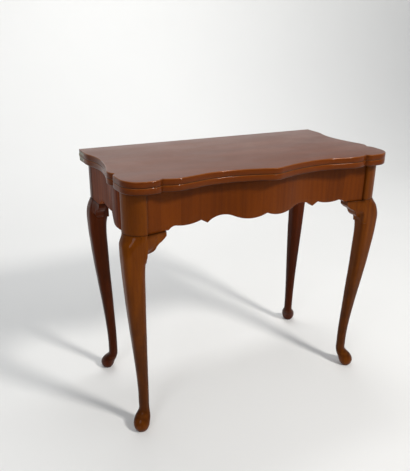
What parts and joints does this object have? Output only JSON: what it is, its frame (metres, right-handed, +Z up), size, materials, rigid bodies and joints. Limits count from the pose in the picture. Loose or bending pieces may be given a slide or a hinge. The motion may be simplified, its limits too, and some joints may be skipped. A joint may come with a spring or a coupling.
{
  "type": "card table",
  "caption": "Folding card table with a serpentine hinged top, scalloped aprons, cabriole legs and a swinging gate leg.",
  "frame": {"origin": "on the floor, below the middle of the overall width and depth", "axes": "+X to the right seen from the front, +Y to the rear, +Z up"},
  "size_m": [0.828, 0.4358, 0.75],
  "materials": {
    "leaf_wood": "polished varnish over dark red-brown wood",
    "veneered_apron": "polished varnish over upright veneer",
    "leg_wood": "polished varnish",
    "bracket_wood": "polished varnish",
    "rail_wood": "planed, unvarnished",
    "playing_cloth": "felted wool",
    "brass": "dulled brass",
    "iron_pin": "dark iron",
    "steel_screws": "plain steel"
  },
  "bodies": {
    "frame": {"fixed_leaf": "leaf_wood", "front_apron": "veneered_apron", "left_side_apron": "veneered_apron", "right_side_apron": "veneered_apron", "front_left_leg": "leg_wood", "front_right_leg": "leg_wood", "rear_right_leg": "leg_wood", "left_front_bracket": "bracket_wood", "right_front_bracket": "bracket_wood", "left_side_bracket": "bracket_wood", "right_side_bracket": "bracket_wood", "rear_right_bracket": "bracket_wood", "inner_back_rail": "rail_wood", "knuckle_rail": "rail_wood", "packing_strip": "rail_wood", "centre_brace": "rail_wood", "front_left_block": "rail_wood", "front_right_block": "rail_wood", "back_left_block": "rail_wood", "back_right_block": "rail_wood", "left_block": "rail_wood", "right_block": "rail_wood", "knuckle_pin": "iron_pin", "block_screws": "steel_screws", "left_fixed_hinge_plate": "brass", "right_fixed_hinge_plate": "brass", "left_fixed_hinge_screws": "brass", "right_fixed_hinge_screws": "brass", "left_hinge_pin": "brass", "right_hinge_pin": "brass", "fixed_cloth": "playing_cloth"},
    "flap": {"flap_leaf": "leaf_wood", "flap_cloth": "playing_cloth", "left_flap_hinge_plate": "brass", "right_flap_hinge_plate": "brass", "left_flap_hinge_screws": "brass", "right_flap_hinge_screws": "brass"},
    "gate": {"gate_leg": "leg_wood", "gate_bracket": "bracket_wood", "fly_rail": "rail_wood"}
  },
  "joints": [
    {"name": "flap_hinge", "type": "hinge", "parent": "frame", "child": "flap", "pos_m": [0, 0.21109, 0.7335], "axis": [-1, 0, 0], "range_deg": [0, 180]},
    {"name": "gate_hinge", "type": "hinge", "parent": "frame", "child": "gate", "pos_m": [0.03, 0.19409, 0.6], "axis": [0, 0, -1], "range_deg": [0, 90]}
  ]
}
